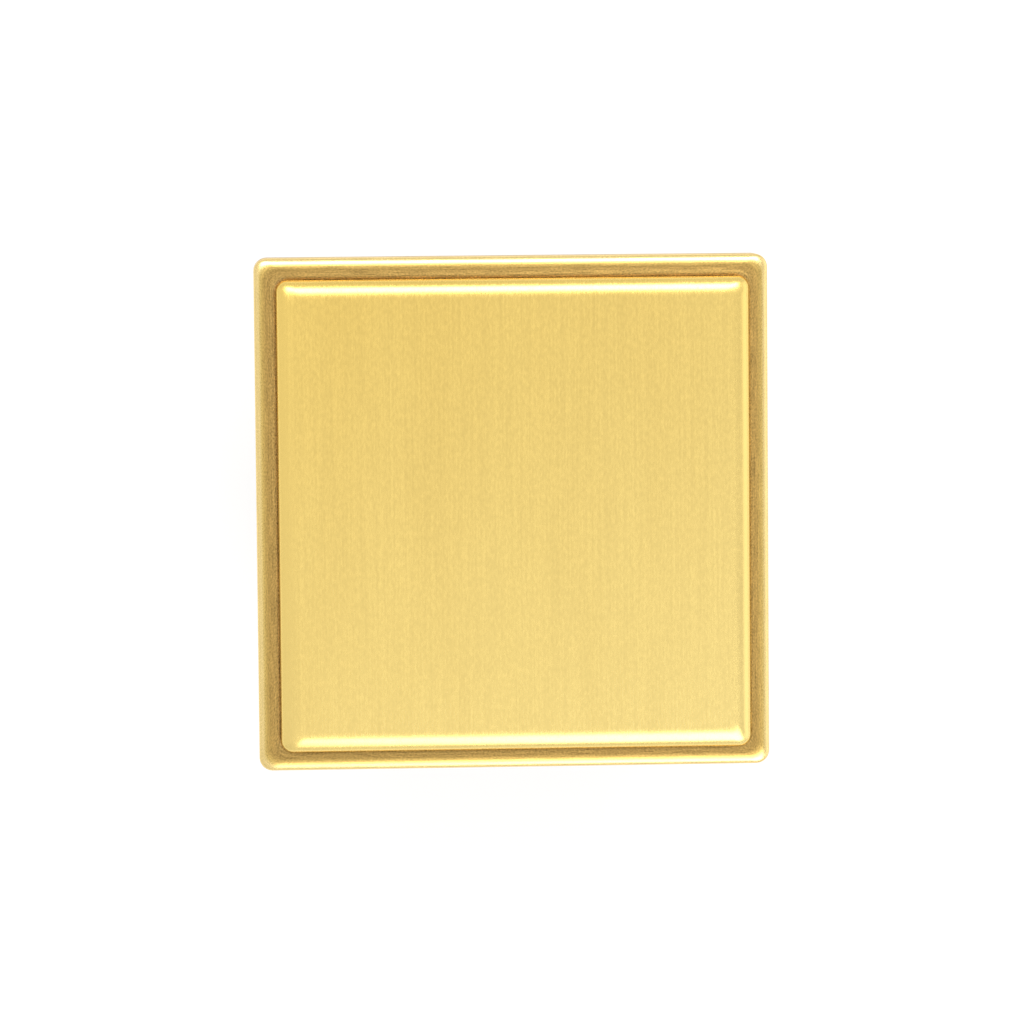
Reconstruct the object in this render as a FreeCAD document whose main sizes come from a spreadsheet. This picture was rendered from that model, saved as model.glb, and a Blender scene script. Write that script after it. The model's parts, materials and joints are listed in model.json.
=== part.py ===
import FreeCAD, Part
import math
import os
import Sketcher

# A square floor drain with a solid brass cover. Water runs in under the raised edge of the cover and down
# a dished tray into a strainer basket, then through a lift-out odour trap core and out of the tail.
# Everything stands on one axis: Z points up, z = 0 is the bottom of the tail, and sizes are in millimetres.

SHEET = "Dims"

DIMENSIONS = {
    # frame: square flange with a rim, a tray and a round boss under it
    "frame_level": 31.0,
    "frame_side": 100.0,
    "frame_corner": 2.6,
    "boss_radius": 28.0,
    "boss_height": 21.0,
    "flange_height": 8.0,
    "rim_round": 1.6,
    "slope_top_side": 96.2,
    "slope_top_corner": 3.0,
    "slope_depth": 0.45,
    "tray_side": 89.8,
    "tray_corner": 2.2,
    "tray_depth": 3.4,
    "dish_radius": 43.0,
    "dish_fall": 2.8,
    "mouth_radius": 29.0,
    "mouth_step": 1.0,
    "thread_radius": 24.0,
    # outlet tail, screwed into the boss
    "tail_radius": 21.0,
    "tail_bore": 19.0,
    "tail_height": 41.5,
    "tail_thread": 23.9,
    "tail_chamfer": 0.8,
    "collar_level": 26.5,
    "collar_height": 3.0,
    "collar_circumradius": 28.8,
    "gasket_inner": 24.2,
    "gasket_height": 1.5,
    "sleeve_level": 15.0,
    "sleeve_height": 9.0,
    "sleeve_inner": 20.4,
    "sleeve_outer": 22.0,
    "fin_radius": 24.6,
    "fin_start": 0.8,
    "fin_pitch": 2.8,
    "fin_lift": 1.3,
    "fin_root": 1.2,
    "fin_edge": 0.4,
    # cover with its feet, pads and screws
    "cover_level": 60.4,
    "cover_side": 92.0,
    "cover_height": 2.4,
    "cover_corner": 2.3,
    "cover_round": 2.0,
    "cover_shift_x": 0.25,
    "cover_shift_y": -0.25,
    "foot_offset": 38.0,
    "foot_radius": 3.5,
    "foot_level": 57.8,
    "foot_height": 2.6,
    "pad_level": 56.6,
    "pad_height": 1.2,
    "pad_web": 0.4,
    "pad_bore": 1.35,
    "head_recess": 2.2,
    "screw_level": 56.7,
    "screw_radius": 1.25,
    "screw_head_radius": 2.1,
    "screw_head_height": 0.7,
    "screw_length": 4.0,
    "screw_hole_depth": 1.2,
    "driver_slot_width": 0.6,
    "driver_slot_depth": 0.35,
    # strainer basket and its knob
    "basket_level": 45.5,
    "basket_base_radius": 21.0,
    "basket_mouth_radius": 23.0,
    "basket_rim_radius": 28.5,
    "basket_wall": 0.8,
    "basket_depth": 7.3,
    "drain_hole": 1.7,
    "inner_ring": 10.0,
    "outer_ring": 16.2,
    "knob_level": 46.3,
    "knob_base": 4.0,
    "knob_flare": 1.2,
    "knob_neck": 3.0,
    "knob_neck_height": 5.0,
    "knob_radius": 6.0,
    "knob_side_foot": 6.4,
    "knob_side_top": 8.2,
    "knob_top_radius": 5.0,
    "knob_height": 9.4,
    "knob_screw_level": 44.7,
    "knob_screw_head": 2.8,
    "knob_screw_head_height": 0.8,
    "knob_screw_length": 4.8,
    "knob_hole_depth": 4.5,
    "knob_screw_bore": 1.3,
    # odour trap core
    "core_level": 16.0,
    "core_radius": 18.0,
    "core_bore": 16.0,
    "seat_bore": 15.0,
    "seat_height": 6.0,
    "core_height": 27.0,
    "core_lip_radius": 23.0,
    "core_lip_height": 1.5,
    "ring_groove_radius": 17.0,
    "ring_groove_level": 19.0,
    "ring_groove_width": 2.3,
    "ring_level": 36.15,
    "ring_radius": 17.95,
    "ring_section": 0.95,
    "bar_level": 40.2,
    "bar_radius": 1.0,
    "bar_length": 35.4,
    "bar_hole": 1.05,
    "spider_level": 20.0,
    "spider_hub": 4.0,
    "spider_hub_height": 5.0,
    "spider_arm_level": 2.0,
    "spider_arm_height": 2.0,
    "spider_arm_width": 2.0,
    "spider_span": 30.0,
    "spider_ring_inner": 13.8,
    "spider_ring_outer": 15.9,
    "bush_level": 19.5,
    "bush_radius": 2.9,
    "bush_bore": 1.65,
    "bush_height": 6.0,
    "bush_flange": 4.0,
    "bush_flange_height": 0.5,
    # valve on its spindle
    "spindle_level": 9.0,
    "spindle_radius": 1.6,
    "spindle_length": 28.6,
    "spindle_head_radius": 2.6,
    "spindle_head_height": 0.8,
    "clip_groove_radius": 1.2,
    "clip_groove_level": 7.6,
    "clip_level": 16.6,
    "clip_height": 0.6,
    "clip_radius": 2.8,
    "clip_gap": 1.8,
    "cap_level": 35.6,
    "cap_radius": 4.7,
    "cap_inner": 4.2,
    "cap_height": 2.0,
    "cap_plate": 0.8,
    "spring_level": 25.5,
    "spring_height": 11.3,
    "spring_radius": 3.4,
    "spring_wire": 0.35,
    "spring_turns": 5.0,
    "bowl_level": 12.5,
    "bowl_hub": 5.0,
    "bowl_hub_rise": 1.0,
    "bowl_knee": 14.0,
    "bowl_radius": 17.6,
    "bowl_edge": 0.5,
    "bowl_height": 2.7,
    "disc_bore": 1.65,
    "seal_level": 15.2,
    "seal_inner": 12.0,
    "seal_height": 0.8,
    "retainer_step": 11.9,
    "retainer_radius": 14.0,
    "retainer_height": 1.4,
    "nut_level": 10.1,
    "nut_height": 2.4,
    "nut_circumradius": 3.2,
}

BASKET_INNER_HOLES = 10
BASKET_OUTER_HOLES = 18
CORNERS = ((1, 1), (-1, 1), (-1, -1), (1, -1))
FINS = 3
SMALL = 1e-6

doc = FreeCAD.newDocument("floor_drain")


# ---------------------------------------------------------------- the sheet

def make_sheet():
    """One row per driving dimension: its name in column A, its value in column B under that alias."""
    sheet = doc.addObject("Spreadsheet::Sheet", SHEET)
    for row, (alias, value) in enumerate(DIMENSIONS.items(), start=1):
        sheet.set("A%d" % row, alias)
        sheet.set("B%d" % row, str(value))
        sheet.setAlias("B%d" % row, alias)
    doc.recompute()
    return sheet


def amount(text):
    """What a sum of cells such as "tray_depth + mouth_step" comes to; "0" is nothing."""
    total, sign = 0.0, 1.0
    for term in text.split():
        if term in ("+", "-"):
            sign = 1.0 if term == "+" else -1.0
        elif term != "0":
            total += sign * DIMENSIONS[term]
    return total


def formula(text):
    """The same sum as an expression on the sheet."""
    return " ".join(t if t in ("+", "-", "0") else "%s.%s" % (SHEET, t) for t in text.split())


def bind(thing, prop, text):
    thing.setExpression(prop, formula(text))


# ---------------------------------------------------------------- bodies and sketches

def new_body(label, level=None):
    """A body named after its piece, standing at the given level of the drain."""
    body = doc.addObject("PartDesign::Body", "Body_" + label)
    body.Label = label
    if level:
        bind(body, "Placement.Base.z", level)
    return body


def origin_feature(body, role):
    return next(f for f in body.Origin.OriginFeatures if f.Role == role)


def new_sketch(body, name, role="XY_Plane", lift=None):
    """A sketch on one of the body's own origin planes, raised along the plane's normal by lift."""
    sketch = body.newObject("Sketcher::SketchObject", name)
    sketch.AttachmentSupport = [(origin_feature(body, role), "")]
    sketch.MapMode = "FlatFace"
    if lift:
        bind(sketch, "AttachmentOffset.Base.z", lift)
    return sketch


def place_point(sketch, geometry, end, x_text, y_text):
    """Pin one point of a sketch at x, y: on the axis where the sum is nothing, else by a bound distance."""
    for kind, text, axis in (("DistanceX", x_text, -2), ("DistanceY", y_text, -1)):
        if abs(amount(text)) < SMALL:
            sketch.addConstraint(Sketcher.Constraint("PointOnObject", geometry, end, axis))
        else:
            index = sketch.addConstraint(Sketcher.Constraint(kind, -1, 1, geometry, end, amount(text)))
            bind(sketch, "Constraints[%d]" % index, text)


def add_polygon(sketch, corners):
    """A closed outline through corners, each a pair of sums of cells."""
    points = [FreeCAD.Vector(amount(x), amount(y), 0) for x, y in corners]
    count = len(points)
    for i in range(count):
        sketch.addGeometry(Part.LineSegment(points[i], points[(i + 1) % count]), False)
    for i in range(count):
        sketch.addConstraint(Sketcher.Constraint("Coincident", i, 2, (i + 1) % count, 1))
    for i, (x_text, y_text) in enumerate(corners):
        place_point(sketch, i, 1, x_text, y_text)


def add_rectangle(sketch, width, height):
    """A rectangle centred on the sketch's origin."""
    x, y = amount(width) / 2, amount(height) / 2
    points = [FreeCAD.Vector(a * x, b * y, 0) for a, b in CORNERS]
    for i in range(4):
        sketch.addGeometry(Part.LineSegment(points[i], points[(i + 1) % 4]), False)
    for i in range(4):
        sketch.addConstraint(Sketcher.Constraint("Coincident", i, 2, (i + 1) % 4, 1))
        sketch.addConstraint(Sketcher.Constraint("Vertical" if i % 2 else "Horizontal", i))
    sketch.addConstraint(Sketcher.Constraint("Symmetric", 0, 1, 2, 1, -1, 1))
    across = sketch.addConstraint(Sketcher.Constraint("DistanceX", 1, 1, 0, 1, 2 * x))
    bind(sketch, "Constraints[%d]" % across, width)
    along = sketch.addConstraint(Sketcher.Constraint("DistanceY", 2, 1, 1, 1, 2 * y))
    bind(sketch, "Constraints[%d]" % along, height)


def add_rounded_square(sketch, side, corner):
    """A square centred on the sketch's origin, its corners arcs."""
    half, radius = amount(side) / 2, amount(corner)
    straight = half - radius
    for quarter in range(4):
        turn = FreeCAD.Rotation(FreeCAD.Vector(0, 0, 1), 90 * quarter)
        start, end, centre = [
            turn.multVec(FreeCAD.Vector(x, y, 0))
            for x, y in ((-straight, -half), (straight, -half), (straight, -straight))]
        circle = Part.Circle(centre, FreeCAD.Vector(0, 0, 1), radius)
        opening = math.radians(90 * (quarter - 1))
        sketch.addGeometry(Part.LineSegment(start, end), False)
        sketch.addGeometry(Part.ArcOfCircle(circle, opening, opening + math.pi / 2), False)
    for quarter in range(4):
        line, bend, after = 2 * quarter, 2 * quarter + 1, (2 * quarter + 2) % 8
        sketch.addConstraint(Sketcher.Constraint("Tangent", line, 2, bend, 1))
        sketch.addConstraint(Sketcher.Constraint("Tangent", bend, 2, after, 1))
        sketch.addConstraint(Sketcher.Constraint("Vertical" if quarter % 2 else "Horizontal", line))
        if quarter:
            sketch.addConstraint(Sketcher.Constraint("Equal", 1, bend))
    size = sketch.addConstraint(Sketcher.Constraint("Radius", 1, radius))
    bind(sketch, "Constraints[%d]" % size, corner)
    sketch.addConstraint(Sketcher.Constraint("Symmetric", 1, 3, 5, 3, -1, 1))
    across = sketch.addConstraint(Sketcher.Constraint("DistanceX", 6, 1, 2, 1, 2 * half))
    bind(sketch, "Constraints[%d]" % across, side)
    along = sketch.addConstraint(Sketcher.Constraint("DistanceY", 0, 1, 4, 1, 2 * half))
    bind(sketch, "Constraints[%d]" % along, side)


def add_circle(sketch, radius, x_text="0", y_text="0"):
    centre = FreeCAD.Vector(amount(x_text), amount(y_text), 0)
    index = sketch.addGeometry(Part.Circle(centre, FreeCAD.Vector(0, 0, 1), amount(radius)), False)
    size = sketch.addConstraint(Sketcher.Constraint("Radius", index, amount(radius)))
    bind(sketch, "Constraints[%d]" % size, radius)
    if abs(amount(x_text)) < SMALL and abs(amount(y_text)) < SMALL:
        sketch.addConstraint(Sketcher.Constraint("Coincident", index, 3, -1, 1))
    else:
        place_point(sketch, index, 3, x_text, y_text)


# ---------------------------------------------------------------- features

def revolve(body, name, corners, kind="PartDesign::Revolution"):
    """Turn a profile drawn in the XZ plane, radius by height, all the way round Z."""
    sketch = new_sketch(body, name + "_profile", "XZ_Plane")
    add_polygon(sketch, corners)
    feature = body.newObject(kind, name)
    feature.Profile = sketch
    feature.ReferenceAxis = (sketch, ["V_Axis"])
    feature.Angle = 360
    return feature


def extrude(body, name, sketch, length, kind="PartDesign::Pad", reverse=False, both_ways=False):
    feature = body.newObject(kind, name)
    feature.Profile = sketch
    bind(feature, "Length", length)
    feature.Reversed = reverse
    if both_ways:
        feature.SideType = "Symmetric"
    return feature


def round_edges(body, name, base, radius, wanted):
    """Fillet the edges of base that pass the test wanted."""
    doc.recompute()
    names = ["Edge%d" % (i + 1) for i, edge in enumerate(base.Shape.Edges) if wanted(edge)]
    feature = body.newObject("PartDesign::Fillet", name)
    feature.Base = (base, names)
    bind(feature, "Radius", radius)
    return feature


def repeat_round_axis(body, name, feature, count):
    pattern = body.newObject("PartDesign::PolarPattern", name)
    pattern.Originals = [feature]
    pattern.Axis = (origin_feature(body, "Z_Axis"), [""])
    pattern.Angle = 360
    pattern.Occurrences = count
    body.Tip = pattern
    return pattern


def turned(label, level, corners):
    """A piece that is one turned profile."""
    body = new_body(label, level)
    revolve(body, label + "_turning", corners)
    return body


def is_at_height(height):
    return lambda edge: edge.BoundBox.ZLength < 1e-3 and abs(edge.BoundBox.ZMin - height) < 1e-3


def reaches(edge):
    """How far from the axis an edge's box goes along X or Y."""
    box = edge.BoundBox
    return max(box.XMax, box.YMax, -box.XMin, -box.YMin)


# ---------------------------------------------------------------- frame and outlet

def make_frame():
    """Square flange on a round boss. Its rim slopes in under the cover to a square tray with a dish."""
    body = new_body("frame", "frame_level")
    outline = new_sketch(body, "flange_outline", lift="boss_height")
    add_rounded_square(outline, "frame_side", "frame_corner")
    extrude(body, "flange", outline, "flange_height")

    circle = new_sketch(body, "boss_outline")
    add_circle(circle, "boss_radius")
    extrude(body, "boss", circle, "boss_height + mouth_step")

    slope_foot = "boss_height + flange_height - slope_depth"
    top = new_sketch(body, "slope_top", lift="boss_height + flange_height")
    add_rounded_square(top, "slope_top_side", "slope_top_corner")
    foot = new_sketch(body, "slope_foot", lift=slope_foot)
    add_rounded_square(foot, "tray_side", "tray_corner")
    slope = body.newObject("PartDesign::SubtractiveLoft", "slope")
    slope.Profile = top
    slope.Sections = [foot]
    slope.Ruled = True
    floor = new_sketch(body, "tray_outline", lift=slope_foot)
    add_rounded_square(floor, "tray_side", "tray_corner")
    tray = extrude(body, "tray", floor, "tray_depth - slope_depth", "PartDesign::Pocket")

    crest = amount("boss_height + flange_height")
    side = amount("slope_top_side") / 2
    round_edges(
        body, "rim_edge", tray, "rim_round",
        lambda edge: is_at_height(crest)(edge) and reaches(edge) > side + 0.01)

    seat = "boss_height + flange_height - tray_depth - dish_fall - mouth_step"
    revolve(body, "dish_and_bore", [
        ("0", "0"),
        ("thread_radius", "0"),
        ("thread_radius", seat),
        ("mouth_radius", seat),
        ("mouth_radius", seat + " + mouth_step"),
        ("dish_radius", seat + " + mouth_step + dish_fall"),
        ("dish_radius", "boss_height + flange_height"),
        ("0", "boss_height + flange_height"),
    ], "PartDesign::Groove")
    return body


def make_outlet_tail():
    """Tail pipe with a hexagonal collar, a waist for the rubber sleeve and a screwed top."""
    body = new_body("outlet_tail")
    waist_top = "sleeve_level + sleeve_height"
    revolve(body, "tail_turning", [
        ("0", "0"),
        ("tail_radius - tail_chamfer", "0"),
        ("tail_radius", "tail_chamfer"),
        ("tail_radius", "sleeve_level"),
        ("sleeve_inner", "sleeve_level"),
        ("sleeve_inner", waist_top),
        ("tail_radius", waist_top),
        ("tail_radius", "collar_level + collar_height"),
        ("tail_thread", "collar_level + collar_height"),
        ("tail_thread", "tail_height"),
        ("0", "tail_height"),
    ])
    collar = body.newObject("PartDesign::AdditivePrism", "collar")
    collar.AttachmentSupport = [(origin_feature(body, "XY_Plane"), "")]
    collar.MapMode = "FlatFace"
    collar.Polygon = 6
    bind(collar, "AttachmentOffset.Base.z", "collar_level")
    bind(collar, "Circumradius", "collar_circumradius")
    bind(collar, "Height", "collar_height")
    bore = new_sketch(body, "bore_outline", lift="tail_height")
    add_circle(bore, "tail_bore")
    extrude(body, "bore", bore, "tail_height", "PartDesign::Pocket")
    return body


def make_tail_gasket():
    return turned("tail_gasket", "collar_level + collar_height", [
        ("gasket_inner", "0"),
        ("boss_radius", "0"),
        ("boss_radius", "gasket_height"),
        ("gasket_inner", "gasket_height"),
    ])


def make_pipe_seal():
    """Rubber sleeve whose fins lean upwards."""
    corners = [("sleeve_inner", "0"), ("sleeve_outer", "0")]
    for fin in range(FINS):
        foot = " + ".join(["fin_start"] + ["fin_pitch"] * fin)
        corners += [
            ("sleeve_outer", foot),
            ("fin_radius", foot + " + fin_lift"),
            ("fin_radius", foot + " + fin_lift + fin_edge"),
            ("sleeve_outer", foot + " + fin_root"),
        ]
    corners += [("sleeve_outer", "sleeve_height"), ("sleeve_inner", "sleeve_height")]
    return turned("pipe_seal", "sleeve_level", corners)


# ---------------------------------------------------------------- cover

def make_cover_plate():
    body = new_body("cover_plate", "cover_level")
    outline = new_sketch(body, "cover_outline")
    add_rounded_square(outline, "cover_side", "cover_corner")
    plate = extrude(body, "plate", outline, "cover_height")
    round_edges(body, "plate_edge", plate, "cover_round", is_at_height(amount("cover_height")))
    hole = new_sketch(body, "screw_hole_outline")
    add_circle(hole, "screw_radius", "foot_offset", "foot_offset")
    pocket = extrude(body, "screw_hole", hole, "screw_hole_depth", "PartDesign::Pocket", reverse=True)
    repeat_round_axis(body, "screw_holes", pocket, len(CORNERS))
    for axis in "xy":
        bind(body, "Placement.Base." + axis, "cover_shift_" + axis)
    return body


def put_at_corner(thing, corner, level):
    """Stand a piece under one corner of the cover, which lies loose and a little off centre in its frame."""
    for axis, side in zip("xy", corner):
        sign = "+" if side > 0 else "-"
        bind(thing, "Placement.Base." + axis, "cover_shift_%s %s foot_offset" % (axis, sign))
    bind(thing, "Placement.Base.z", level)


def make_cover_foot(number, corner):
    foot = turned("cover_foot_%d" % number, None, [
        ("screw_radius", "0"),
        ("foot_radius", "0"),
        ("foot_radius", "foot_height"),
        ("screw_radius", "foot_height"),
    ])
    put_at_corner(foot, corner, "foot_level")
    return foot


def make_foot_pad(number, corner):
    """Rubber pad with a recess below for the screw's head."""
    pad = turned("foot_pad_%d" % number, None, [
        ("head_recess", "0"),
        ("foot_radius", "0"),
        ("foot_radius", "pad_height"),
        ("pad_bore", "pad_height"),
        ("pad_bore", "pad_height - pad_web"),
        ("head_recess", "pad_height - pad_web"),
    ])
    put_at_corner(pad, corner, "pad_level")
    return pad


def add_cylinder(name, radius, height, level=None):
    cylinder = doc.addObject("Part::Cylinder", name)
    bind(cylinder, "Radius", radius)
    bind(cylinder, "Height", height)
    if level:
        bind(cylinder, "Placement.Base.z", level)
    return cylinder


def make_screw(name, head_radius, head_height, shank_radius, length):
    """A slotted screw, head down: the head from z = 0 up, then the shank."""
    head = add_cylinder(name + "_head", head_radius, head_height)
    shank = add_cylinder(name + "_shank", shank_radius, length, head_height)
    blank = doc.addObject("Part::Fuse", name + "_blank")
    blank.Base, blank.Tool = head, shank
    blank.Refine = True
    slot = doc.addObject("Part::Box", name + "_slot")
    bind(slot, "Length", head_radius + " + " + head_radius)
    bind(slot, "Width", "driver_slot_width")
    bind(slot, "Height", "driver_slot_depth")
    bind(slot, "Placement.Base.x", "0 - " + head_radius)
    slot.setExpression("Placement.Base.y", "-%s.driver_slot_width / 2" % SHEET)
    screw = doc.addObject("Part::Cut", name)
    screw.Base, screw.Tool = blank, slot
    return screw


def make_foot_screws():
    """The four screws of the cover's feet, kept together as one group."""
    screws = []
    for number, corner in enumerate(CORNERS, start=1):
        name = "foot_screw_%d" % number
        screw = make_screw(name, "screw_head_radius", "screw_head_height", "screw_radius", "screw_length")
        put_at_corner(screw, corner, "screw_level")
        screws.append(screw)
    group = doc.addObject("Part::Compound", "foot_screws")
    group.Links = screws
    return group


# ---------------------------------------------------------------- strainer

def make_strainer_basket():
    """Pressed cup with a flat rim and two rings of round holes in its base."""
    body = new_body("strainer_basket", "basket_level")
    revolve(body, "pressing", [
        ("knob_screw_bore", "0"),
        ("basket_base_radius", "0"),
        ("basket_mouth_radius", "basket_depth"),
        ("basket_rim_radius", "basket_depth"),
        ("basket_rim_radius", "basket_depth + basket_wall"),
        ("basket_mouth_radius - basket_wall", "basket_depth + basket_wall"),
        ("basket_base_radius - basket_wall", "basket_wall"),
        ("knob_screw_bore", "basket_wall"),
    ])
    for name, ring, count in (
        ("inner_holes", "inner_ring", BASKET_INNER_HOLES),
        ("outer_holes", "outer_ring", BASKET_OUTER_HOLES),
    ):
        outline = new_sketch(body, name + "_outline", lift="basket_wall")
        add_circle(outline, "drain_hole", ring, "0")
        pocket = extrude(body, name + "_first", outline, "basket_wall", "PartDesign::Pocket")
        repeat_round_axis(body, name, pocket, count)
    return body


def make_strainer_knob():
    return turned("strainer_knob", "knob_level", [
        ("screw_radius", "0"),
        ("knob_base", "0"),
        ("knob_neck", "knob_flare"),
        ("knob_neck", "knob_neck_height"),
        ("knob_radius", "knob_side_foot"),
        ("knob_radius", "knob_side_top"),
        ("knob_top_radius", "knob_height"),
        ("0", "knob_height"),
        ("0", "knob_hole_depth"),
        ("screw_radius", "knob_hole_depth"),
    ])


def make_knob_screw():
    screw = make_screw(
        "knob_screw", "knob_screw_head", "knob_screw_head_height", "screw_radius", "knob_screw_length")
    bind(screw, "Placement.Base.z", "knob_screw_level")
    return screw


# ---------------------------------------------------------------- odour trap core

def make_core_shell():
    """Tube with a lip that hangs on the tail, an O-ring groove, a ledge for the spider and two bar holes."""
    body = new_body("core_shell", "core_level")
    groove_top = "ring_groove_level + ring_groove_width"
    lip_foot = "core_height - core_lip_height"
    revolve(body, "shell_turning", [
        ("seat_bore", "0"),
        ("core_radius", "0"),
        ("core_radius", "ring_groove_level"),
        ("ring_groove_radius", "ring_groove_level"),
        ("ring_groove_radius", groove_top),
        ("core_radius", groove_top),
        ("core_radius", lip_foot),
        ("core_lip_radius", lip_foot),
        ("core_lip_radius", "core_height"),
        ("core_bore", "core_height"),
        ("core_bore", "seat_height"),
        ("seat_bore", "seat_height"),
    ])
    outline = new_sketch(body, "bar_hole_outline", "YZ_Plane")
    add_circle(outline, "bar_hole", "0", "bar_level - core_level")
    across = "core_lip_radius + core_lip_radius"
    extrude(body, "bar_holes", outline, across, "PartDesign::Pocket", both_ways=True)
    return body


def make_core_o_ring():
    ring = doc.addObject("Part::Torus", "core_o_ring")
    bind(ring, "Radius1", "ring_radius")
    bind(ring, "Radius2", "ring_section")
    bind(ring, "Placement.Base.z", "ring_level")
    return ring


def make_core_pull_bar():
    bar = add_cylinder("core_pull_bar", "bar_radius", "bar_length", "bar_level")
    bar.Placement.Rotation = FreeCAD.Rotation(FreeCAD.Vector(0, 1, 0), 90)
    bar.setExpression("Placement.Base.x", "-%s.bar_length / 2" % SHEET)
    return bar


def make_guide_spider():
    """Hub and four arms inside a ring that rests on the core's ledge."""
    body = new_body("guide_spider", "spider_level")
    hub = new_sketch(body, "hub_outline")
    add_circle(hub, "spider_hub")
    extrude(body, "hub", hub, "spider_hub_height")
    for name, width, height in (
        ("arms_across", "spider_span", "spider_arm_width"),
        ("arms_along", "spider_arm_width", "spider_span"),
    ):
        outline = new_sketch(body, name + "_outline", lift="spider_arm_level")
        add_rectangle(outline, width, height)
        extrude(body, name, outline, "spider_arm_height")
    ring = new_sketch(body, "ring_outline", lift="spider_arm_level")
    add_circle(ring, "spider_ring_outer")
    add_circle(ring, "spider_ring_inner")
    extrude(body, "ring", ring, "spider_arm_height")
    bore = new_sketch(body, "hub_bore_outline", lift="spider_hub_height")
    add_circle(bore, "bush_radius")
    extrude(body, "hub_bore", bore, "spider_hub_height", "PartDesign::Pocket")
    return body


def make_guide_bush():
    return turned("guide_bush", "bush_level", [
        ("bush_bore", "0"),
        ("bush_radius", "0"),
        ("bush_radius", "bush_height - bush_flange_height"),
        ("bush_flange", "bush_height - bush_flange_height"),
        ("bush_flange", "bush_height"),
        ("bush_bore", "bush_height"),
    ])


# ---------------------------------------------------------------- valve

def make_valve_spindle():
    """Headed spindle with a groove for the clip and a driver slot in its head."""
    body = new_body("valve_spindle", "spindle_level")
    top = "spindle_length + spindle_head_height"
    revolve(body, "spindle_turning", [
        ("0", "0"),
        ("spindle_radius", "0"),
        ("spindle_radius", "clip_groove_level"),
        ("clip_groove_radius", "clip_groove_level"),
        ("clip_groove_radius", "clip_groove_level + clip_height"),
        ("spindle_radius", "clip_groove_level + clip_height"),
        ("spindle_radius", "spindle_length"),
        ("spindle_head_radius", "spindle_length"),
        ("spindle_head_radius", top),
        ("0", top),
    ])
    slot = new_sketch(body, "slot_outline", lift=top)
    add_rectangle(slot, "spindle_head_radius + spindle_head_radius", "driver_slot_width")
    extrude(body, "slot", slot, "driver_slot_depth", "PartDesign::Pocket")
    return body


def make_spindle_clip():
    """Open ring in the spindle's groove."""
    body = new_body("spindle_clip", "clip_level")
    revolve(body, "clip_turning", [
        ("clip_groove_radius", "0"),
        ("clip_radius", "0"),
        ("clip_radius", "clip_height"),
        ("clip_groove_radius", "clip_height"),
    ])
    gap = new_sketch(body, "gap_outline", lift="clip_height")
    add_rectangle(gap, "clip_radius", "clip_gap")
    bind(gap, "AttachmentOffset.Base.x", "clip_radius")
    extrude(body, "gap", gap, "clip_height", "PartDesign::Pocket")
    return body


def make_spring_cap():
    return turned("spring_cap", "cap_level", [
        ("cap_inner", "0"),
        ("cap_radius", "0"),
        ("cap_radius", "cap_height"),
        ("disc_bore", "cap_height"),
        ("disc_bore", "cap_height - cap_plate"),
        ("cap_inner", "cap_height - cap_plate"),
    ])


def make_valve_spring(sheet):
    """Round wire swept along a helix between the bush and the cap."""
    wire_radius = sheet.spring_wire
    rise = sheet.spring_height - 2 * wire_radius
    coil = Part.makeHelix(rise / sheet.spring_turns, rise, sheet.spring_radius)
    start = FreeCAD.Vector(sheet.spring_radius, 0, 0)
    section = Part.Wire([Part.makeCircle(wire_radius, start, FreeCAD.Vector(0, 1, 0))])
    spring = doc.addObject("Part::Feature", "valve_spring")
    spring.Shape = Part.Wire(coil).makePipeShell([section], True, True)
    spring.Placement.Base = FreeCAD.Vector(0, 0, sheet.spring_level + wire_radius)
    return spring


def make_seal_retainer():
    return turned("seal_retainer", "seal_level", [
        ("disc_bore", "0"),
        ("retainer_step", "0"),
        ("retainer_step", "seal_height"),
        ("retainer_radius", "seal_height"),
        ("retainer_radius", "retainer_height"),
        ("disc_bore", "retainer_height"),
    ])


def make_valve_seal():
    return turned("valve_seal", "seal_level", [
        ("seal_inner", "0"),
        ("bowl_radius", "0"),
        ("bowl_radius", "seal_height"),
        ("seal_inner", "seal_height"),
    ])


def make_valve_bowl():
    return turned("valve_bowl", "bowl_level", [
        ("disc_bore", "0"),
        ("bowl_hub", "0"),
        ("bowl_knee", "bowl_hub_rise"),
        ("bowl_radius", "bowl_height - bowl_edge"),
        ("bowl_radius", "bowl_height"),
        ("disc_bore", "bowl_height"),
    ])


def make_valve_nut():
    blank = doc.addObject("Part::Prism", "nut_blank")
    blank.Polygon = 6
    bind(blank, "Circumradius", "nut_circumradius")
    bind(blank, "Height", "nut_height")
    hole = add_cylinder("nut_hole", "spindle_radius", "nut_height")
    nut = doc.addObject("Part::Cut", "valve_nut")
    nut.Base, nut.Tool = blank, hole
    bind(nut, "Placement.Base.z", "nut_level")
    return nut


# ---------------------------------------------------------------- build, check and write

def build():
    sheet = make_sheet()
    pieces = [
        make_frame(), make_outlet_tail(), make_tail_gasket(), make_pipe_seal(),
        make_cover_plate(), make_foot_screws(),
        make_strainer_basket(), make_strainer_knob(), make_knob_screw(),
        make_core_shell(), make_core_o_ring(), make_core_pull_bar(), make_guide_spider(), make_guide_bush(),
        make_valve_spindle(), make_spindle_clip(), make_spring_cap(), make_valve_spring(sheet),
        make_seal_retainer(), make_valve_seal(), make_valve_bowl(), make_valve_nut(),
    ]
    for number, corner in enumerate(CORNERS, start=1):
        pieces.append(make_cover_foot(number, corner))
        pieces.append(make_foot_pad(number, corner))
    return pieces


def check(pieces):
    """Stop if any object failed to recompute, or any piece is empty or not a valid solid."""
    for thing in doc.Objects:
        faults = {"Invalid", "Error"} & set(thing.State)
        if faults:
            raise RuntimeError("%s (%s): %s" % (thing.Name, thing.Label, ", ".join(faults)))
    for piece in pieces:
        shape = piece.Shape
        if shape.isNull() or not shape.isValid() or not shape.Solids:
            raise RuntimeError("%s has no valid solid" % piece.Label)
        print("%-18s %d solid(s), %9.1f mm3" % (piece.Label, len(shape.Solids), shape.Volume))


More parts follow.
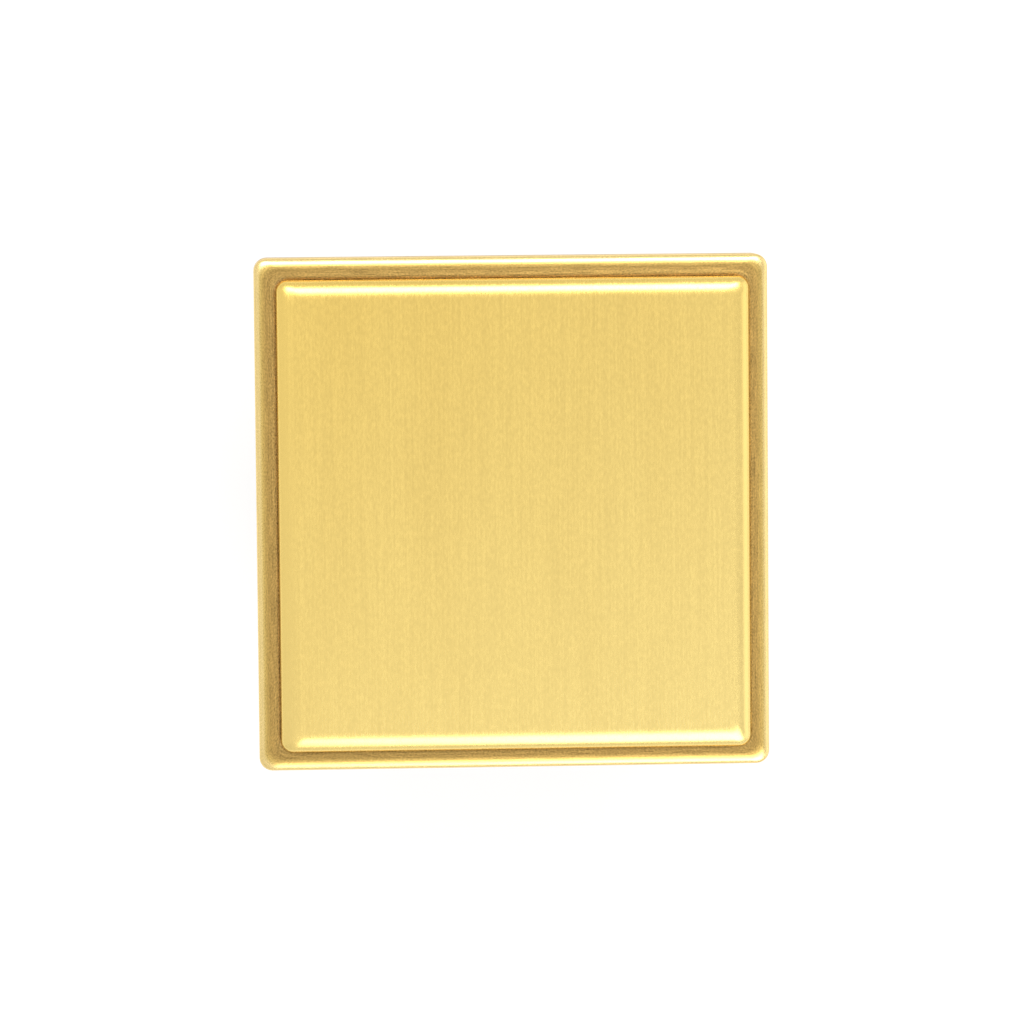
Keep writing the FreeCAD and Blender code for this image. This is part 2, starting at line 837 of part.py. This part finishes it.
def write(pieces):
    os.makedirs("parts", exist_ok=True)
    for piece in pieces:
        piece.Shape.exportStep(os.path.join("parts", piece.Label + ".step"))


pieces = build()
doc.recompute()
check(pieces)
write(pieces)
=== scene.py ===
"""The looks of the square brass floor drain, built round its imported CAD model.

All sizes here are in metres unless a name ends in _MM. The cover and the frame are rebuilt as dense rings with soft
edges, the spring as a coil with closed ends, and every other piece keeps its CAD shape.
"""

import json
import math

import bpy
from mathutils import Matrix, Vector


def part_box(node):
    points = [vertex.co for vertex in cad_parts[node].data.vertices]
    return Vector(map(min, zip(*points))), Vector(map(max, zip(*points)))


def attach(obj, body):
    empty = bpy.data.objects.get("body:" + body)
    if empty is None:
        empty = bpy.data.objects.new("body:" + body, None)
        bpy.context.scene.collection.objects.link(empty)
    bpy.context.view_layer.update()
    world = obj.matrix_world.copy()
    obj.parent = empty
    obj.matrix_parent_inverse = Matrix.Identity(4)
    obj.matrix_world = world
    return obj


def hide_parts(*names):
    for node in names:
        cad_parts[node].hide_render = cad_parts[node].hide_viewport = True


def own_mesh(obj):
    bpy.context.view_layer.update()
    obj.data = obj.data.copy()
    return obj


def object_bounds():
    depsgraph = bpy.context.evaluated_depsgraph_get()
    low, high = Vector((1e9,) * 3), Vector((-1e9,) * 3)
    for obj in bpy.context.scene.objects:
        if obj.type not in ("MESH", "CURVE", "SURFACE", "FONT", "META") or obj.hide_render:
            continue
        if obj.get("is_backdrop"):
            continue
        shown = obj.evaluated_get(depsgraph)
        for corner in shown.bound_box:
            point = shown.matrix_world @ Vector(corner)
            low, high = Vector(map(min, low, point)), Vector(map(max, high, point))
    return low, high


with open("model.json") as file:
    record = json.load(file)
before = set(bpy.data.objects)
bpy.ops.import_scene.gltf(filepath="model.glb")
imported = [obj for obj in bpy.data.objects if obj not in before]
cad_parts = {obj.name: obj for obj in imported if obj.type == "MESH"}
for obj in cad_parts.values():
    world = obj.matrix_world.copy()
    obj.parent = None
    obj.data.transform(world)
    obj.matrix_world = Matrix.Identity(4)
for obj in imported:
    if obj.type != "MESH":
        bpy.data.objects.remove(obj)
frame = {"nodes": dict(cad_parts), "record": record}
cad_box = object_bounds()

MM = 0.001

# The camera looks down on the cover from a little off its axis.
CAMERA_PLACE = Vector((-0.0501, 0.0757, 0.9955))
CAMERA_AIM = Vector((-0.00025, 0.00017, 0.060))
CAMERA_ROLL = -0.0086
CAMERA_LENS_MM = 169.5
CAMERA_CLIP = (0.01, 20.0)

# The levels and half widths of the drain, read from the CAD model's own boxes.
cover_low, cover_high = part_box("cover_plate")
frame_low, frame_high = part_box("frame")
cover_centre = (cover_low + cover_high) / 2
COVER_HALF = (cover_high.x - cover_low.x) / 2
FRAME_HALF = frame_high.x
BOSS_FOOT = frame_low.z
CREST = 60.0 * MM
FLANGE_FOOT = 52.0 * MM
TRAY_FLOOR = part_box("foot_pad_1")[0].z
BASKET_RIM = 0.8 * MM
MOUTH_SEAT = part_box("strainer_basket")[1].z - BASKET_RIM


# ---------------------------------------------------------------- mesh building

STRAIGHT_STEPS = 30
CORNER_STEPS = 18
CORNER_SPREAD = math.radians(2.6)
BRUSH_MAP = "brush"


def ring_angles():
    """Directions round a square, close together where its corners are."""
    limit = math.pi / 4 - CORNER_SPREAD
    side = [math.atan(math.tan(limit) * (2 * i / STRAIGHT_STEPS - 1)) for i in range(STRAIGHT_STEPS)]
    corner = [limit + 2 * CORNER_SPREAD * i / CORNER_STEPS for i in range(CORNER_STEPS)]
    return [quarter * math.pi / 2 + a for quarter in range(4) for a in side + corner]


ANGLES = ring_angles()


def reach(angle, half, corner):
    """How far a rounded square of that half width goes in one direction."""
    a = (angle + math.pi / 4) % (math.pi / 2) - math.pi / 4
    along = abs(math.sin(a)) / math.cos(a) * half
    if along <= half - corner:
        return half / math.cos(a)
    centre = half - corner
    inward = centre * (math.cos(a) + abs(math.sin(a)))
    return inward + math.sqrt(max(0.0, inward * inward - 2 * centre * centre + corner * corner))


def ring(half, level, corner, centre=(0.0, 0.0)):
    """The points of a rounded square at one level."""
    points = []
    for angle in ANGLES:
        distance = reach(angle, half, min(corner, half))
        points.append((centre[0] + distance * math.cos(angle), centre[1] + distance * math.sin(angle), level))
    return points


def arc(centre, radii, start, stop, steps):
    """Points of an elliptical arc in the half-width and level plane; angles in degrees from outward."""
    made = []
    for i in range(steps + 1):
        a = math.radians(start + (stop - start) * i / steps)
        made.append((centre[0] + radii[0] * math.cos(a), centre[1] + radii[1] * math.sin(a)))
    return made


def mesh_piece(name, vertices, faces, face_materials=None):
    """A smooth-shaded object in the scene; face_materials gives a material slot for each face."""
    mesh = bpy.data.meshes.new(name)
    mesh.from_pydata(vertices, [], faces)
    mesh.validate()
    mesh.shade_smooth()
    if face_materials:
        mesh.polygons.foreach_set("material_index", face_materials)
    mesh.update()
    piece = bpy.data.objects.new(name, mesh)
    bpy.context.scene.collection.objects.link(piece)
    return piece


def ringed_piece(name, profile, corner_of, centre=(0.0, 0.0), closed=True, zone_of=None):
    """A piece whose surface is a stack of rings.

    A closed profile runs up its inner side and down its outer side, and its last ring joins its first. Any other
    runs out from the axis and back over the top, and both its ends are capped.
    """
    count = len(ANGLES)
    vertices = [p for half, level in profile for p in ring(half, level, corner_of(half), centre)]
    faces, zones = [], []
    spans = len(profile) if closed else len(profile) - 1
    for j in range(spans):
        here, above = j * count, (j + 1) % len(profile) * count
        for i in range(count):
            k = (i + 1) % count
            face = (here + i, here + k, above + k, above + i)
            faces.append(face[::-1] if closed else face)
            zones.append(zone_of(j) if zone_of else 0)
    if not closed:
        for start, level, flip in ((0, profile[0][1], True), ((len(profile) - 1) * count, profile[-1][1], False)):
            vertices.append((centre[0], centre[1], level))
            hub = len(vertices) - 1
            for i in range(count):
                a, b = start + i, start + (i + 1) % count
                faces.append((b, a, hub) if flip else (a, b, hub))
                zones.append(0)
    piece = mesh_piece(name, vertices, faces, zones)
    add_brush_map(piece, profile, count)
    return piece


def add_brush_map(piece, profile, count):
    """A map in metres: along the ring in u, and in v out from the axis and down from the profile's highest ring.

    Finishes that follow the sides of a piece are drawn on it.
    """
    layer = piece.data.uv_layers.new(name=BRUSH_MAP)
    levels = [level for _, level in profile]
    peak = levels.index(max(levels))
    outward = [half + (levels[peak] - level if row > peak else 0.0) for row, (half, level) in enumerate(profile)]
    for loop in piece.data.loops:
        row, column = divmod(loop.vertex_index, count)
        if row < len(profile):
            angle = ANGLES[column]
            local = (angle + math.pi / 4) % (math.pi / 2) - math.pi / 4
            quarter = round((angle - local) / (math.pi / 2))
            layer.data[loop.index].uv = (quarter * 0.1 + 0.05 * math.tan(local), outward[row])


# ---------------------------------------------------------------- materials

NOISE_LOW, NOISE_HIGH = 0.3, 0.7  # where most of a noise's values lie


def new_material(name, metallic=0.0):
    material = bpy.data.materials.new(name)
    material.use_nodes = True
    shader = material.node_tree.nodes["Principled BSDF"]
    shader.inputs["Metallic"].default_value = metallic
    return material, material.node_tree, shader


def link(tree, source, target):
    tree.links.new(source, target)


def object_place(tree):
    return tree.nodes.new("ShaderNodeTexCoord").outputs["Object"]


def brush_place(tree):
    """Where a point is on the brush map that ringed pieces carry."""
    node = tree.nodes.new("ShaderNodeUVMap")
    node.uv_map = BRUSH_MAP
    return node.outputs["UV"]


def stretched(tree, vector, scale):
    node = tree.nodes.new("ShaderNodeMapping")
    node.inputs["Scale"].default_value = scale
    link(tree, vector, node.inputs["Vector"])
    return node.outputs["Vector"]


def turned_place(tree):
    """Radius and height from the drain's axis: what a lathe tool's marks follow."""
    split = tree.nodes.new("ShaderNodeSeparateXYZ")
    link(tree, object_place(tree), split.inputs["Vector"])
    flat = tree.nodes.new("ShaderNodeCombineXYZ")
    link(tree, split.outputs["X"], flat.inputs["X"])
    link(tree, split.outputs["Y"], flat.inputs["Y"])
    length = tree.nodes.new("ShaderNodeVectorMath")
    length.operation = "LENGTH"
    link(tree, flat.outputs["Vector"], length.inputs[0])
    both = tree.nodes.new("ShaderNodeCombineXYZ")
    link(tree, length.outputs["Value"], both.inputs["X"])
    link(tree, split.outputs["Z"], both.inputs["Y"])
    return both.outputs["Vector"]


def noise(tree, place, scale, detail, roughness=0.5):
    """Noise between 0 and 1 with scale features per metre along each of the place's directions."""
    texture = tree.nodes.new("ShaderNodeTexNoise")
    texture.inputs["Scale"].default_value = 1.0
    texture.inputs["Detail"].default_value = detail
    texture.inputs["Roughness"].default_value = roughness
    link(tree, stretched(tree, place, scale), texture.inputs["Vector"])
    return texture.outputs["Fac"]


def carried(tree, value, from_low, from_high, to_low, to_high):
    """A value carried from one range on to another, and held at its ends."""
    node = tree.nodes.new("ShaderNodeMapRange")
    node.inputs["From Min"].default_value = from_low
    node.inputs["From Max"].default_value = from_high
    node.inputs["To Min"].default_value = to_low
    node.inputs["To Max"].default_value = to_high
    link(tree, value, node.inputs["Value"])
    return node.outputs["Result"]


def spread(tree, value, low, high):
    """A noise value spread from low to high."""
    return carried(tree, value, NOISE_LOW, NOISE_HIGH, low, high)


def graded(tree, value, stops):
    """The colour that stops, a list of values and colours, gives for a value."""
    node = tree.nodes.new("ShaderNodeValToRGB")
    elements = node.color_ramp.elements
    while len(elements) < len(stops):
        elements.new(0.5)
    for element, (position, colour) in zip(elements, stops):
        element.position = position
        element.color = (*colour, 1.0)
    link(tree, value, node.inputs["Fac"])
    return node.outputs["Color"]


def tint(tree, value, dark, light):
    """A colour between dark and light, by a noise value."""
    return graded(tree, value, ((NOISE_LOW, dark), (NOISE_HIGH, light)))


def bump(tree, shader, *layers):
    """Stacks bumps on a shader; each layer is a height and how deep it is, in metres."""
    normal = None
    for height, depth in layers:
        node = tree.nodes.new("ShaderNodeBump")
        node.inputs["Strength"].default_value = 1.0
        node.inputs["Distance"].default_value = depth
        link(tree, height, node.inputs["Height"])
        if normal is not None:
            link(tree, normal, node.inputs["Normal"])
        normal = node.outputs["Normal"]
    link(tree, normal, shader.inputs["Normal"])


def multiplied(tree, first, second):
    """The product of two colours, or of a colour and a value."""
    node = tree.nodes.new("ShaderNodeVectorMath")
    node.operation = "MULTIPLY"
    link(tree, first, node.inputs[0])
    link(tree, second, node.inputs[1])
    return node.outputs["Vector"]


def mean(tree, first, second, share):
    """Two values mixed, with share of the second; share is a number or a value too."""
    node = tree.nodes.new("ShaderNodeMix")
    node.data_type = "FLOAT"
    if isinstance(share, float):
        node.inputs["Factor"].default_value = share
    else:
        link(tree, share, node.inputs["Factor"])
    link(tree, first, node.inputs["A"])
    link(tree, second, node.inputs["B"])
    return node.outputs["Result"]


def rising(tree, slope, middle):
    """A value that grows across a piece by slope per metre along X, Y and Z, and is middle on the drain's axis."""
    along = tree.nodes.new("ShaderNodeVectorMath")
    along.operation = "DOT_PRODUCT"
    along.inputs[1].default_value = slope
    link(tree, object_place(tree), along.inputs[0])
    total = tree.nodes.new("ShaderNodeMath")
    total.inputs[1].default_value = middle
    link(tree, along.outputs["Value"], total.inputs[0])
    return total.outputs["Value"]


def brushed_brass(name, lines, blotches, dark, light, rough, depth, contrast=0.04, light_gradient_of=None):
    """Satin brass with the marks that lines gives.

    blotches says how many slow changes from dark to light there are per metre, and the last argument, where given,
    adds painted light: a slow change of light and hue across the piece. rough is the range of its roughness, depth
    how deep the marks are in metres, and contrast how much they change its tone.
    """
    material, tree, shader = new_material(name, metallic=1.0)
    fine = lines(tree)
    slow = noise(tree, object_place(tree), blotches, 2.0)
    tone = multiplied(tree, tint(tree, slow, dark, light), spread(tree, fine, 1.0 - contrast, 1.0 + contrast))
    # Painted light: a slow change of light and hue across the piece, when one is given.
    if light_gradient_of:
        tone = multiplied(tree, tone, light_gradient_of(tree))
    link(tree, tone, shader.inputs["Base Color"])
    link(tree, spread(tree, fine, rough[0], rough[1]), shader.inputs["Roughness"])
    bump(tree, shader, (fine, depth))
    return material


def cover_marks(tree):
    """Short scratches with a few long lines among them, all running along Y."""
    short = noise(tree, object_place(tree), (2600, 1000, 2600), 1.0)
    long = noise(tree, object_place(tree), (2600, 35, 2600), 1.0)
    return mean(tree, short, long, 0.38)


def cover_painted_light(tree):
    """Painted light: warmer toward -X and +Y, and paler toward the opposite corner, as the light falls across the
    cover.
    """
    return tint(tree, rising(tree, (1.4, -2.85, 0), 0.5), (0.998, 0.955, 0.81), (1.014, 1.065, 1.23))


def cover_brass():
    # The cover's colour carries painted light: paler toward +X and -Y.
    return brushed_brass(
        "cover_brass", cover_marks, blotches=(60, 12, 60), dark=(0.845, 0.622, 0.194), light=(0.875, 0.652, 0.208),
        rough=(0.22, 0.30), depth=0.000003, contrast=0.028, light_gradient_of=cover_painted_light)


# How bright the rim's brass is: polished at its outer edge and duller toward the cover, with painted shade darkening
# it where the cover stands over it, and painted light in the innermost stop, under the cover's edge.
RIM_TONES_AND_PAINTED_SHADE = (
    (45.7 * MM, (0.66, 0.470, 0.200)),
    (46.4 * MM, (0.42, 0.270, 0.082)),
    (47.2 * MM, (0.42, 0.265, 0.078)),
    (47.8 * MM, (0.46, 0.295, 0.086)),
    (48.4 * MM, (0.56, 0.375, 0.108)),
    (48.9 * MM, (0.68, 0.485, 0.150)),
    (49.4 * MM, (0.86, 0.650, 0.270)),
)


def rim_brass():
    """Brushed along each side of the frame, and left matt in the channel round the cover, whose colour carries
    painted shade from the cover standing over it.

    The channel's matt skin is a little paler toward +X and +Y: painted light, as the light falls.
    """
    material, tree, shader = new_material("rim_brass", metallic=1.0)
    short = noise(tree, brush_place(tree), (2200, 3800, 1), 1.0)
    long = noise(tree, brush_place(tree), (180, 3800, 1), 1.0)
    fine = mean(tree, short, long, 0.4)

    place = tree.nodes.new("ShaderNodeSeparateXYZ")
    link(tree, brush_place(tree), place.inputs["Vector"])
    inner, outer = RIM_TONES_AND_PAINTED_SHADE[0][0], RIM_TONES_AND_PAINTED_SHADE[-1][0]
    across = carried(tree, place.outputs["Y"], inner, outer, 0.0, 1.0)
    stops = [((half - inner) / (outer - inner), colour) for half, colour in RIM_TONES_AND_PAINTED_SHADE]

    # Painted light: the channel's marks grow paler toward +X and +Y.
    dull_marks_and_painted_light = multiplied(tree, spread(tree, fine, 0.4, 1.6), rising(tree, (2.2, 1.0, 0), 1.13))
    marks = mean(tree, dull_marks_and_painted_light, spread(tree, fine, 0.84, 1.16), across)
    # The graded colour holds the painted shade, and the painted light under the cover's edge, near the cover.
    link(tree, multiplied(tree, graded(tree, across, stops), marks), shader.inputs["Base Color"])

    polish = carried(tree, across, 0.0, 1.0, 0.38, 0.24)
    rough = mean(tree, polish, spread(tree, fine, 0.26, 0.38), 0.3)
    link(tree, rough, shader.inputs["Roughness"])
    bump(tree, shader, (fine, 0.000004))
    return material


def lathe_marks(tree, scale):
    return noise(tree, turned_place(tree), (scale,) * 3, 3.0, 0.6)


def turned_brass():
    return brushed_brass(
        "turned_brass", lambda tree: lathe_marks(tree, 3600), blotches=(70, 70, 70), dark=(0.74, 0.53, 0.20),
        light=(0.83, 0.61, 0.24), rough=(0.18, 0.32), depth=0.000004)


def cast_brass():
    """The skin left by the mould on the parts that nobody sees once the drain is laid."""
    material, tree, shader = new_material("cast_brass", metallic=1.0)
    grain = noise(tree, object_place(tree), (1500, 1500, 1500), 4.0, 0.6)
    stain = noise(tree, object_place(tree), (60, 60, 60), 4.0, 0.6)
    link(tree, tint(tree, stain, (0.52, 0.35, 0.13), (0.72, 0.51, 0.20)), shader.inputs["Base Color"])
    link(tree, spread(tree, grain, 0.38, 0.58), shader.inputs["Roughness"])
    bump(tree, shader, (stain, 0.00008), (grain, 0.00005))
    return material


def stainless():
    """Turned or pressed steel under a thin uneven film."""
    material, tree, shader = new_material("stainless_steel", metallic=1.0)
    marks = lathe_marks(tree, 4200)
    film = noise(tree, object_place(tree), (90, 90, 90), 3.0)
    link(tree, tint(tree, film, (0.52, 0.51, 0.49), (0.66, 0.65, 0.63)), shader.inputs["Base Color"])
    link(tree, spread(tree, marks, 0.16, 0.30), shader.inputs["Roughness"])
    bump(tree, shader, (marks, 0.000004))
    return material


def moulded(name, dark, light, rough, grain_scale, grain_depth):
    """A moulded plastic or rubber: fine grain, and a slow change of tone."""
    material, tree, shader = new_material(name)
    grain = noise(tree, object_place(tree), (grain_scale,) * 3, 3.0, 0.6)
    slow = noise(tree, object_place(tree), (80, 80, 80), 3.0)
    link(tree, tint(tree, slow, dark, light), shader.inputs["Base Color"])
    link(tree, spread(tree, grain, rough[0], rough[1]), shader.inputs["Roughness"])
    bump(tree, shader, (grain, grain_depth))
    return material


# ---------------------------------------------------------------- pieces

EDGE = 0.3 * MM  # the radius or bevel of every small edge

COVER_CORNER = 2.3 * MM
COVER_LEAST_CORNER = 0.9 * MM
COVER_CORNER_LOSS = 0.2
COVER_ROUND = (3.9 * MM, 2.1 * MM)
COVER_FOOT_SHARES = (0.1, 0.4, 0.7, 0.97)
COVER_TOP_INSETS_MM = (0.2, 0.6, 2.0, 6.0, 14.0, 24.0, 36.0)


def make_cover(material):
    """Solid plate with a wide soft edge, standing proud of the rim; its corners tighten toward its flat top."""
    half, low, top = COVER_HALF, cover_low.z, cover_high.z
    turn = (half - COVER_ROUND[0], top - COVER_ROUND[1])
    profile = [(half * share, low) for share in COVER_FOOT_SHARES]
    profile += arc((half - EDGE, low + EDGE), (EDGE, EDGE), -90, 0, 4)
    profile += arc(turn, COVER_ROUND, 0, 90, 26)
    profile += [(turn[0] - inset * MM, top) for inset in COVER_TOP_INSETS_MM]

    def corner_of(reach_out):
        return max(COVER_CORNER - COVER_CORNER_LOSS * (half - reach_out), COVER_LEAST_CORNER)

    cover = ringed_piece("cover_shell", profile, corner_of, (cover_centre.x, cover_centre.y), closed=False)
    cover.data.materials.append(material)
    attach(cover, "cover")
    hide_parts("cover_plate")


# The frame's own sizes, as radii and half widths from the axis.
BORE = 24.0 * MM
BOSS = 28.0 * MM
MOUTH = 29.0 * MM
DISH = 43.0 * MM
TRAY_HALF = 44.9 * MM
TRAY_FILLET = 0.6 * MM
RIM_ROUND = (2.4 * MM, 1.0 * MM)
RIM_FALL = 0.45 * MM

# Its section is round up to the dish, and square from there on.
ROUND_WITHIN = 43.2 * MM
TRAY_WITHIN = 45.3 * MM
TRAY_CORNER = 2.2 * MM
FRAME_CORNER = 2.6 * MM


def rim_flank(start, lip):
    """The inner flank of the rim, from its crest in to the lip over the tray, growing a little steeper on the way."""
    steps = 10
    shares = [i / steps for i in range(steps + 1)]
    return [(start + (lip - start) * t, CREST - RIM_FALL * t * (0.5 + 0.5 * t)) for t in shares]


def frame_profile():
    """The frame's section in the half-width and level plane, from the foot of its bore, in and up and round.

    With it come the row where the polished rim starts and the row where it ends.
    """
    crest = FRAME_HALF - RIM_ROUND[0]
    # bore, seat of the trap core, and wall round the basket's rim
    profile = [(BORE + EDGE, BOSS_FOOT), (BORE, BOSS_FOOT + EDGE)]
    profile += [(BORE, MOUTH_SEAT - EDGE), (BORE + EDGE, MOUTH_SEAT)]
    profile += [(MOUTH - EDGE, MOUTH_SEAT), (MOUTH, MOUTH_SEAT), (MOUTH, MOUTH_SEAT + BASKET_RIM)]
    profile += [(MOUTH + EDGE, MOUTH_SEAT + BASKET_RIM + EDGE)]
    # dish, tray and the wall up to the rim's lip
    profile += [(DISH - 2 * EDGE, TRAY_FLOOR - 0.1 * MM), (DISH + EDGE, TRAY_FLOOR)]
    profile += arc((TRAY_HALF - TRAY_FILLET, TRAY_FLOOR + TRAY_FILLET), (TRAY_FILLET, TRAY_FILLET), -90, 0, 6)
    profile += arc((TRAY_HALF + EDGE, CREST - RIM_FALL - EDGE), (EDGE, EDGE), 180, 98, 5)
    # rim
    rim_start = len(profile)
    profile += list(reversed(rim_flank(crest, TRAY_HALF + EDGE)))
    profile += arc((crest, CREST - RIM_ROUND[1]), RIM_ROUND, 86, 0, 16)
    rim_end = len(profile)
    # side and underside of the flange
    profile += [(FRAME_HALF, CREST - 1.6 * MM), (FRAME_HALF, FLANGE_FOOT + EDGE + 0.2 * MM)]
    profile += arc((FRAME_HALF - EDGE, FLANGE_FOOT + EDGE), (EDGE, EDGE), 0, -90, 4)
    profile += [(FRAME_HALF - 1.0 * MM, FLANGE_FOOT), (40.0 * MM, FLANGE_FOOT), (BOSS + 1.2 * MM, FLANGE_FOOT)]
    # fillet under the flange, and boss
    profile += [(BOSS + 0.4 * MM, FLANGE_FOOT - 0.25 * MM), (BOSS, FLANGE_FOOT - 0.9 * MM)]
    profile += [(BOSS, BOSS_FOOT + EDGE), (BOSS - EDGE, BOSS_FOOT)]
    return profile, rim_start, rim_end


def make_frame(polished, rough_cast):
    """Surround, tray and boss in one casting, polished only on its rim."""
    profile, rim_start, rim_end = frame_profile()

    def corner_of(half):
        if half < ROUND_WITHIN:
            return half
        return TRAY_CORNER if half < TRAY_WITHIN else FRAME_CORNER

    def zone_of(row):
        return 0 if rim_start <= row < rim_end else 1

    shell = ringed_piece("frame_shell", profile, corner_of, zone_of=zone_of)
    shell.data.materials.append(polished)
    shell.data.materials.append(rough_cast)
    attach(shell, "drain_body")
    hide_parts("frame")


SPRING_TURNS = 6.0
SPRING_END_TURNS = 0.8
SPRING_WIRE = 0.35 * MM  # its radius
CLOSED_PITCH = 2.1 * SPRING_WIRE
STEPS_PER_TURN = 36
WIRE_SIDES = 12


def spring_height(turn, travel):
    """How far up the coil is after so many turns: close wound at both ends, open between."""
    closed = CLOSED_PITCH * SPRING_END_TURNS
    if turn < SPRING_END_TURNS:
        return closed * turn / SPRING_END_TURNS
    if turn > SPRING_TURNS - SPRING_END_TURNS:
        return travel - closed * (SPRING_TURNS - turn) / SPRING_END_TURNS
    share = (turn - SPRING_END_TURNS) / (SPRING_TURNS - 2 * SPRING_END_TURNS)
    return closed + (travel - 2 * closed) * share


def make_spring(material):
    """Coil spring with closed ends."""
    low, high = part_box("valve_spring")
    radius = (high.x - low.x) / 2 - SPRING_WIRE
    travel = high.z - low.z - 2 * SPRING_WIRE
    count = int(SPRING_TURNS * STEPS_PER_TURN)
    vertices, faces = [], []
    for i in range(count + 1):
        turn = i / STEPS_PER_TURN
        angle = 2 * math.pi * turn
        out = Vector((math.cos(angle), math.sin(angle), 0))
        centre = out * radius + Vector((0, 0, low.z + SPRING_WIRE + spring_height(turn, travel)))
        for k in range(WIRE_SIDES):
            a = 2 * math.pi * k / WIRE_SIDES
            vertices.append(centre + SPRING_WIRE * (math.cos(a) * out + math.sin(a) * Vector((0, 0, 1))))
    for i in range(count):
        for k in range(WIRE_SIDES):
            n = (k + 1) % WIRE_SIDES
            a, b = i * WIRE_SIDES, (i + 1) * WIRE_SIDES
            faces.append((a + k, b + k, b + n, a + n))
    faces.append(tuple(range(WIRE_SIDES)))
    faces.append(tuple(count * WIRE_SIDES + k for k in reversed(range(WIRE_SIDES))))
    spring = mesh_piece("spring_coil", vertices, faces)
    spring.data.materials.append(material)
    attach(spring, "trap_core")
    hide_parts("valve_spring")
    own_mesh(spring)


def finish_cad_nodes(finishes):
    """Gives every CAD node that still shows the material of its slot in the record."""
    slots = {row["node"]: row["material_slot"] for row in frame["record"]["subparts"]}
    for name, node in frame["nodes"].items():
        if not node.hide_render:
            node.data.materials.clear()
            node.data.materials.append(finishes[slots[name]])


# ---------------------------------------------------------------- studio

FLOOR_HALF = 4.0
FLOOR_GLOW = 0.72
SKY_STRENGTH = 0.85
SOFTBOX_DISTANCE = 1.3

# Each one's name, azimuth, lean, span, width and radiance, as add_softbox takes them.
SOFTBOXES = (
    ("far_box", 90, 35, 21, 1.3, 5.5),
    ("near_box", -68, 44, 36, 0.8, 3.2),
    ("near_fill", -75, 15, 16, 0.8, 0.14),
    ("left_box", 180, 48, 76, 2.0, 0.09),
    ("side_box", 0, 70, 34, 2.0, 0.5),
)


def make_floor():
    """Pale floor, bright enough to stay white right up to the drain."""
    corners = [(x * FLOOR_HALF, y * FLOOR_HALF, 0.0) for x, y in ((-1, -1), (1, -1), (1, 1), (-1, 1))]
    floor = mesh_piece("floor", corners, [(0, 1, 2, 3)])
    material, _, shader = new_material("pale_floor")
    shader.inputs["Base Color"].default_value = (0.25, 0.25, 0.25, 1.0)
    shader.inputs["Roughness"].default_value = 0.8
    shader.inputs["Emission Color"].default_value = (1.0, 1.0, 1.0, 1.0)
    shader.inputs["Emission Strength"].default_value = FLOOR_GLOW
    floor.data.materials.append(material)
    floor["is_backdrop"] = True


def add_softbox(name, azimuth, lean, span, width, radiance):
    """An even rectangular light facing the cover; radiance is how bright its face looks.

    azimuth and lean say where its middle is, in degrees from +X and from overhead, and span is how many degrees of
    the sky it takes up in the direction it leans. width is in metres.
    """
    turn, tip = math.radians(azimuth), math.radians(lean)
    out = Vector((math.cos(turn) * math.sin(tip), math.sin(turn) * math.sin(tip), math.cos(tip)))
    height = 2 * SOFTBOX_DISTANCE * math.tan(math.radians(span) / 2)
    data = bpy.data.lights.new(name, "AREA")
    data.shape = "RECTANGLE"
    data.size, data.size_y = width, height
    data.energy = radiance * math.pi * width * height
    light = bpy.data.objects.new(name, data)
    across = Vector((-math.sin(turn), math.cos(turn), 0.0))
    facing = Matrix((across, out.cross(across), out)).transposed()
    light.matrix_world = Matrix.Translation(CAMERA_AIM + SOFTBOX_DISTANCE * out) @ facing.to_4x4()
    light.visible_camera = False
    bpy.context.scene.collection.objects.link(light)


def make_lights():
    world = bpy.data.worlds.new("studio")
    bpy.context.scene.world = world
    world.use_nodes = True
    background = world.node_tree.nodes["Background"]
    background.inputs["Color"].default_value = (1.0, 1.0, 1.0, 1.0)
    background.inputs["Strength"].default_value = SKY_STRENGTH
    for softbox in SOFTBOXES:
        add_softbox(*softbox)


def make_camera():
    data = bpy.data.cameras.new("camera")
    data.lens = CAMERA_LENS_MM
    data.clip_start, data.clip_end = CAMERA_CLIP
    camera = bpy.data.objects.new("camera", data)
    ahead = (CAMERA_AIM - CAMERA_PLACE).normalized()
    level = ahead.cross(Vector((0, 1, 0))).normalized()
    upright = level.cross(ahead)
    right = level * math.cos(CAMERA_ROLL) + upright * math.sin(CAMERA_ROLL)
    facing = Matrix((right, right.cross(ahead), -ahead)).transposed()
    camera.matrix_world = Matrix.Translation(CAMERA_PLACE) @ facing.to_4x4()
    bpy.context.scene.collection.objects.link(camera)
    bpy.context.scene.camera = camera


make_camera()
make_lights()
make_floor()
bpy.context.scene.view_settings.view_transform = "Standard"

# Each moulded material's dark and light colour, range of roughness, grains per metre and their depth in metres.
MOULDED = {
    "black_rubber": ((0.018, 0.018, 0.019), (0.032, 0.032, 0.034), (0.5, 0.7), 2600, 0.00002),
    "core_plastic": ((0.50, 0.52, 0.53), (0.60, 0.62, 0.63), (0.35, 0.5), 1800, 0.00001),
    "bush_plastic": ((0.08, 0.085, 0.09), (0.12, 0.125, 0.13), (0.3, 0.45), 2200, 0.00001),
}

steel = stainless()
lathe_brass = turned_brass()
make_cover(cover_brass())
make_frame(rim_brass(), cast_brass())
make_spring(steel)
finishes = {"satin_brass": lathe_brass, "turned_brass": lathe_brass, "stainless": steel}
finishes.update({name: moulded(name, *look) for name, look in MOULDED.items()})
finish_cad_nodes(finishes)

[[list(corner) for corner in box] for box in (cad_box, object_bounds())]
